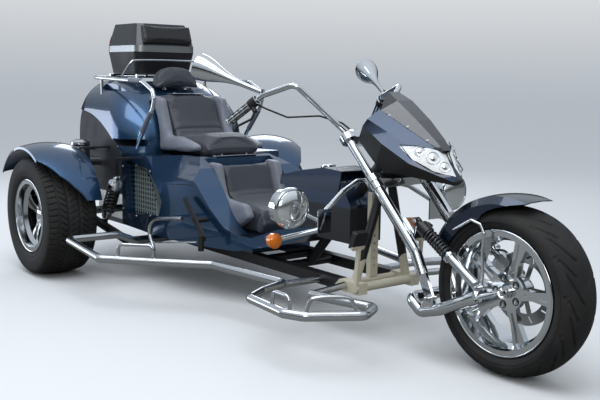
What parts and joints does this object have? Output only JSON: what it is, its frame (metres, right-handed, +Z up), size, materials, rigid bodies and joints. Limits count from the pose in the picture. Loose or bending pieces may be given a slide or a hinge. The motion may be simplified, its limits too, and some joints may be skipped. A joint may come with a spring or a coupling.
{
  "type": "motorized trike",
  "caption": "Rear-engined touring trike with raked leading-link fork, stepped double seat, chrome side rails and a top case.",
  "frame": {"origin": "on the ground under the middle of the overall length and width", "axes": "+X forward along the length, +Y to the rider's left, +Z up"},
  "size_m": [3.5599, 1.804, 1.4299],
  "materials": {
    "band_aluminium": "satin",
    "body_paint": "gloss",
    "case_plastic": "matte",
    "chrome": "polished",
    "damper_alloy": "polished",
    "disc_steel": "brushed",
    "engine_alloy": "cast",
    "frame_black": "satin",
    "grip_rubber": "matte",
    "lamp_glass": "clear",
    "mesh_steel": "satin",
    "rim_alloy": "polished",
    "screen_tint": "gloss",
    "seat_leather": "matte",
    "spring_black": "gloss",
    "tyre_rubber": "matte"
  },
  "bodies": {
    "chassis": {"frame": "frame_black", "body_shell": "body_paint", "engine": "engine_alloy", "rear_axle": "frame_black", "rear_shocks": "damper_alloy", "rear_fender_right": "body_paint", "rear_fender_left": "body_paint", "rear_seat": "seat_leather", "front_seat": "seat_leather", "headrest": "seat_leather", "case_tub": "case_plastic", "luggage_rack": "chrome", "side_rail_right": "chrome", "side_rail_left": "chrome", "tank_cover": "body_paint", "lamp_bar": "chrome", "aux_lamps": "chrome", "tail_panel": "case_plastic", "brackets": "frame_black", "arch_liners": "case_plastic", "intake_grilles": "mesh_steel", "trailing_arms": "frame_black", "rear_springs": "spring_black", "exhaust_cans": "chrome", "seat_bolsters": "seat_leather", "case_band": "band_aluminium", "grab_rails": "chrome", "grab_sleeves": "grip_rubber", "console_box": "case_plastic", "controls": "frame_black", "indicators": "lamp_glass", "tail_lamps": "lamp_glass", "plate_holder": "case_plastic"},
    "fork": {"fork": "chrome", "swing_arm": "chrome", "front_shocks": "damper_alloy", "front_axle": "frame_black", "front_fender": "body_paint", "handlebar": "chrome", "grips": "grip_rubber", "fairing": "body_paint", "windscreen": "screen_tint", "headlights": "lamp_glass", "mirrors": "chrome", "front_springs": "spring_black", "brake_caliper": "frame_black", "front_stays": "chrome", "switchgear": "case_plastic", "fairing_pan": "case_plastic", "bar_cable": "grip_rubber"},
    "front_wheel": {"front_tyre": "tyre_rubber", "front_rim": "rim_alloy", "brake_disc": "disc_steel"},
    "rear_wheel_right": {"rear_tyre_right": "tyre_rubber", "rear_rim_right": "rim_alloy"},
    "rear_wheel_left": {"rear_tyre_left": "tyre_rubber", "rear_rim_left": "rim_alloy"},
    "case_lid": {"case_lid": "case_plastic", "case_pad": "seat_leather"}
  },
  "joints": [
    {"name": "steering", "type": "hinge", "parent": "chassis", "child": "fork", "pos_m": [0.73373, 0, 0.78227], "axis": [-0.7071, 0, 0.7071], "range_deg": [-30, 30]},
    {"name": "front_wheel_spin", "type": "hinge", "parent": "fork", "child": "front_wheel", "pos_m": [1.45, 0, 0.33], "axis": [0, 1, 0], "continuous": true},
    {"name": "rear_wheel_right_spin", "type": "hinge", "parent": "chassis", "child": "rear_wheel_right", "pos_m": [-1.224, -0.743, 0.336], "axis": [0, 1, 0], "continuous": true},
    {"name": "rear_wheel_left_spin", "type": "hinge", "parent": "chassis", "child": "rear_wheel_left", "pos_m": [-1.224, 0.743, 0.336], "axis": [0, 1, 0], "continuous": true},
    {"name": "case_lid_hinge", "type": "hinge", "parent": "chassis", "child": "case_lid", "pos_m": [-1.178, 0, 1.3], "axis": [0, 1, 0], "range_deg": [0, 75]}
  ]
}
